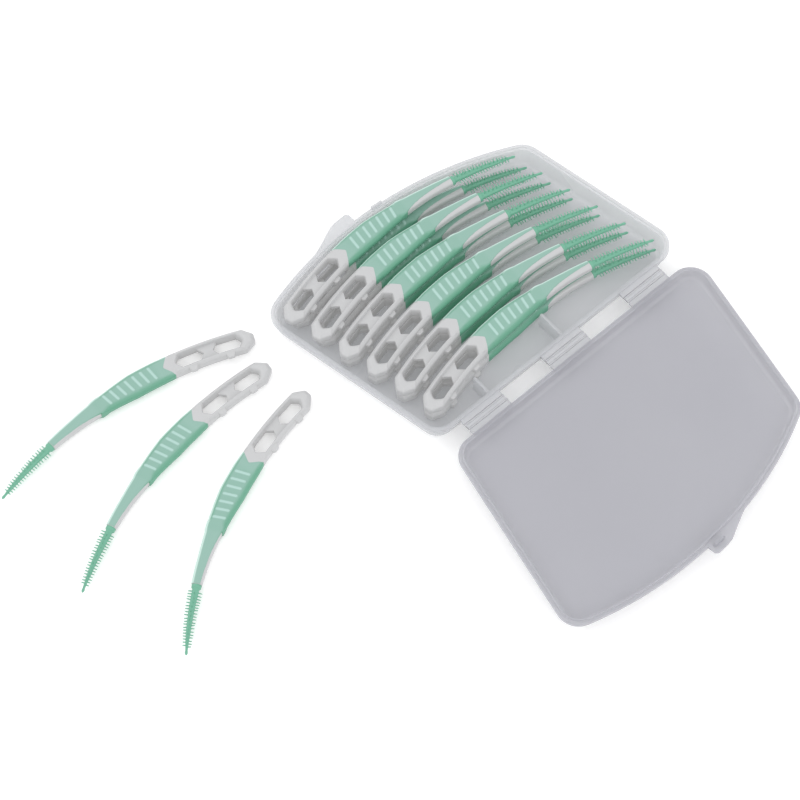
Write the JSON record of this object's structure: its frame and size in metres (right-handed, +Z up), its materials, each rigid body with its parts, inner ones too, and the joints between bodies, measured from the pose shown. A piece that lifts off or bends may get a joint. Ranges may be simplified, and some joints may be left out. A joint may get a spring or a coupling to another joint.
{
  "type": "interdental pick set in a hinged pocket case",
  "caption": "Translucent pocket case with a living-hinge lid, lying open, with two stacked layers of curved rubber-bristled interdental picks inside and loose picks beside it.",
  "frame": {"origin": "on the surface the case lies on, under the middle of the tray", "axes": "+X along the hinge towards the picks' brushes, +Y from the hinge towards the tray's bowed front, +Z up"},
  "size_m": [0.1844, 0.1434, 0.0097],
  "materials": {
    "tray_plastic": "translucent natural polypropylene, smooth with a soft shine",
    "lid_plastic": "translucent natural polypropylene, smooth with a soft shine",
    "hinge_plastic": "translucent polypropylene film, smooth",
    "pick_plastic": "white polypropylene with a satin surface",
    "grip_rubber": "mint green thermoplastic rubber, satin",
    "brush_rubber": "mint green thermoplastic rubber, satin"
  },
  "bodies": {
    "tray": {"case_tray": "tray_plastic", "hinge_straps": "hinge_plastic"},
    "lid": {"case_lid": "lid_plastic"},
    "upper_pick_1": {"upper_pick_1_core": "pick_plastic", "upper_pick_1_grip": "grip_rubber", "upper_pick_1_brush": "brush_rubber"},
    "upper_pick_2": {"upper_pick_2_core": "pick_plastic", "upper_pick_2_grip": "grip_rubber", "upper_pick_2_brush": "brush_rubber"},
    "upper_pick_3": {"upper_pick_3_core": "pick_plastic", "upper_pick_3_grip": "grip_rubber", "upper_pick_3_brush": "brush_rubber"},
    "upper_pick_4": {"upper_pick_4_core": "pick_plastic", "upper_pick_4_grip": "grip_rubber", "upper_pick_4_brush": "brush_rubber"},
    "upper_pick_5": {"upper_pick_5_core": "pick_plastic", "upper_pick_5_grip": "grip_rubber", "upper_pick_5_brush": "brush_rubber"},
    "upper_pick_6": {"upper_pick_6_core": "pick_plastic", "upper_pick_6_grip": "grip_rubber", "upper_pick_6_brush": "brush_rubber"},
    "lower_pick_1": {"lower_pick_1_core": "pick_plastic", "lower_pick_1_grip": "grip_rubber", "lower_pick_1_brush": "brush_rubber"},
    "lower_pick_2": {"lower_pick_2_core": "pick_plastic", "lower_pick_2_grip": "grip_rubber", "lower_pick_2_brush": "brush_rubber"},
    "lower_pick_3": {"lower_pick_3_core": "pick_plastic", "lower_pick_3_grip": "grip_rubber", "lower_pick_3_brush": "brush_rubber"},
    "lower_pick_4": {"lower_pick_4_core": "pick_plastic", "lower_pick_4_grip": "grip_rubber", "lower_pick_4_brush": "brush_rubber"},
    "lower_pick_5": {"lower_pick_5_core": "pick_plastic", "lower_pick_5_grip": "grip_rubber", "lower_pick_5_brush": "brush_rubber"},
    "lower_pick_6": {"lower_pick_6_core": "pick_plastic", "lower_pick_6_grip": "grip_rubber", "lower_pick_6_brush": "brush_rubber"},
    "loose_pick_1": {"loose_pick_1_core": "pick_plastic", "loose_pick_1_grip": "grip_rubber", "loose_pick_1_brush": "brush_rubber"},
    "loose_pick_2": {"loose_pick_2_core": "pick_plastic", "loose_pick_2_grip": "grip_rubber", "loose_pick_2_brush": "brush_rubber"},
    "loose_pick_3": {"loose_pick_3_core": "pick_plastic", "loose_pick_3_grip": "grip_rubber", "loose_pick_3_brush": "brush_rubber"}
  },
  "joints": [
    {"name": "lid_fold", "type": "hinge", "parent": "tray", "child": "lid", "pos_m": [0.0058, -0.03477, 0.0077], "axis": [1, 0, 0], "range_deg": [-180, 0]},
    {"name": "lower_pick_1_lift", "type": "slide", "parent": "tray", "child": "lower_pick_1", "axis": [0, 0, 1], "range_m": [0, 0.03]},
    {"name": "upper_pick_1_lift", "type": "slide", "parent": "lower_pick_1", "child": "upper_pick_1", "axis": [0, 0, 1], "range_m": [0, 0.03]},
    {"name": "lower_pick_2_lift", "type": "slide", "parent": "tray", "child": "lower_pick_2", "axis": [0, 0, 1], "range_m": [0, 0.03]},
    {"name": "upper_pick_2_lift", "type": "slide", "parent": "lower_pick_2", "child": "upper_pick_2", "axis": [0, 0, 1], "range_m": [0, 0.03]},
    {"name": "lower_pick_3_lift", "type": "slide", "parent": "tray", "child": "lower_pick_3", "axis": [0, 0, 1], "range_m": [0, 0.03]},
    {"name": "upper_pick_3_lift", "type": "slide", "parent": "lower_pick_3", "child": "upper_pick_3", "axis": [0, 0, 1], "range_m": [0, 0.03]},
    {"name": "lower_pick_4_lift", "type": "slide", "parent": "tray", "child": "lower_pick_4", "axis": [0, 0, 1], "range_m": [0, 0.03]},
    {"name": "upper_pick_4_lift", "type": "slide", "parent": "lower_pick_4", "child": "upper_pick_4", "axis": [0, 0, 1], "range_m": [0, 0.03]},
    {"name": "lower_pick_5_lift", "type": "slide", "parent": "tray", "child": "lower_pick_5", "axis": [0, 0, 1], "range_m": [0, 0.03]},
    {"name": "upper_pick_5_lift", "type": "slide", "parent": "lower_pick_5", "child": "upper_pick_5", "axis": [0, 0, 1], "range_m": [0, 0.03]},
    {"name": "lower_pick_6_lift", "type": "slide", "parent": "tray", "child": "lower_pick_6", "axis": [0, 0, 1], "range_m": [0, 0.03]},
    {"name": "upper_pick_6_lift", "type": "slide", "parent": "lower_pick_6", "child": "upper_pick_6", "axis": [0, 0, 1], "range_m": [0, 0.03]},
    {"name": "loose_pick_1_lift", "type": "slide", "parent": "tray", "child": "loose_pick_1", "axis": [0, 0, 1], "range_m": [0, 0.03]},
    {"name": "loose_pick_2_lift", "type": "slide", "parent": "tray", "child": "loose_pick_2", "axis": [0, 0, 1], "range_m": [0, 0.03]},
    {"name": "loose_pick_3_lift", "type": "slide", "parent": "tray", "child": "loose_pick_3", "axis": [0, 0, 1], "range_m": [0, 0.03]}
  ]
}
